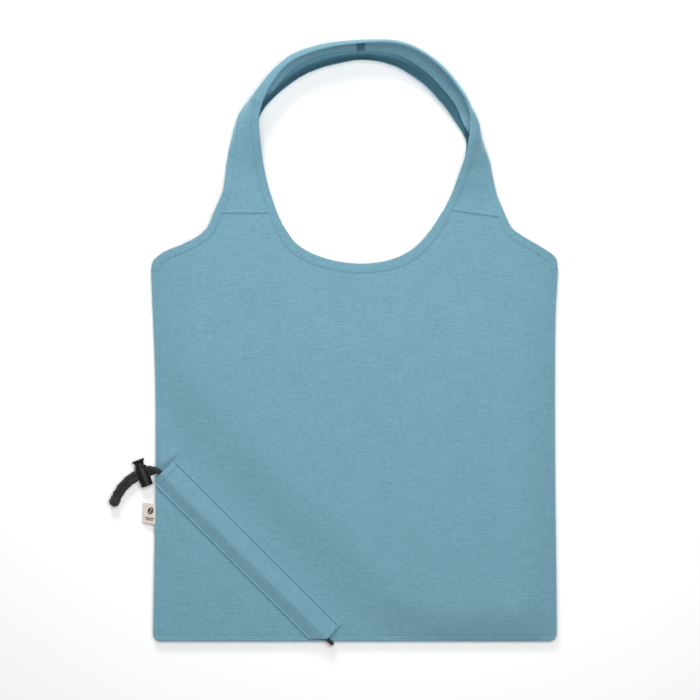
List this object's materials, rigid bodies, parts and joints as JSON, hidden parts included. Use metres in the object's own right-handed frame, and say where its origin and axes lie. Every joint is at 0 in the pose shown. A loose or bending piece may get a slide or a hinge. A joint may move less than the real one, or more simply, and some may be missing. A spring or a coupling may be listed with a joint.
{
  "type": "foldable tote bag",
  "caption": "Flat cotton shopper with two looped handles and bound edges that packs into its own corner, closed by a drawcord with a spring lock.",
  "frame": {"origin": "on the plane the bag rests on, under the middle of the bag without its free cord", "axes": "+Y from the bottom seam to the top of the handles, +Z out of the front panel, +X towards the side seam away from the drawcord corner"},
  "size_m": [0.4257, 0.5716, 0.0374],
  "materials": {
    "cotton": "plain woven cotton, dusty blue",
    "cotton_tape": "bias-cut cotton, topstitched",
    "label_cloth": "woven satin tape",
    "black_cord": "braided polyester",
    "black_plastic": "moulded, satin",
    "spring_steel": "drawn wire"
  },
  "bodies": {
    "bag": {"front_panel": "cotton", "back_panel": "cotton", "neck_binding_front": "cotton_tape", "neck_binding_back": "cotton_tape", "armhole_binding_left_front": "cotton_tape", "armhole_binding_right_front": "cotton_tape", "armhole_binding_left_back": "cotton_tape", "armhole_binding_right_back": "cotton_tape", "front_casing": "cotton_tape", "back_casing": "cotton_tape", "drawcord_loop": "black_cord"},
    "front_handle": {"front_strap_left": "cotton", "front_strap_right": "cotton", "front_strap_inner_binding": "cotton_tape", "front_strap_outer_binding": "cotton_tape"},
    "back_handle": {"back_strap_left": "cotton", "back_strap_right": "cotton", "back_strap_inner_binding": "cotton_tape", "back_strap_outer_binding": "cotton_tape"},
    "label": {"side_label": "label_cloth"},
    "cord_tail": {"drawcord_strand_front": "black_cord", "drawcord_strand_back": "black_cord", "drawcord_knot": "black_cord"},
    "cord_lock": {"cord_lock_barrel": "black_plastic", "cord_lock_spring": "spring_steel"},
    "cord_lock_press": {"cord_lock_button": "black_plastic"}
  },
  "joints": [
    {"name": "front_handle_fold", "type": "hinge", "parent": "bag", "child": "front_handle", "pos_m": [0.00943, 0.12287, 0.0138], "axis": [1, 0, 0], "range_deg": [0, 160]},
    {"name": "back_handle_fold", "type": "hinge", "parent": "bag", "child": "back_handle", "pos_m": [0.00943, 0.12287, -0.0004], "axis": [-1, 0, 0], "range_deg": [0, 160]},
    {"name": "label_flap", "type": "hinge", "parent": "bag", "child": "label", "pos_m": [-0.18467, -0.16333, 0.00605], "axis": [0, 1, 0], "range_deg": [0, 100]},
    {"name": "cord_pull", "type": "slide", "parent": "bag", "child": "cord_tail", "axis": [-0.7071, 0.7071, 0], "range_m": [0, 0.05]},
    {"name": "lock_along_cord", "type": "hinge", "parent": "cord_tail", "child": "cord_lock", "pos_m": [-0.18039, -0.166, 0.00615], "axis": [0, 0, 1], "range_deg": [0, 28]},
    {"name": "button_press", "type": "slide", "parent": "cord_lock", "child": "cord_lock_press", "axis": [0.3551, -0.9348, 0], "range_m": [0, 0.0026], "stiffness_N_per_m": 600, "springref_m": -0.002, "deforming": ["cord_lock_spring"]}
  ]
}
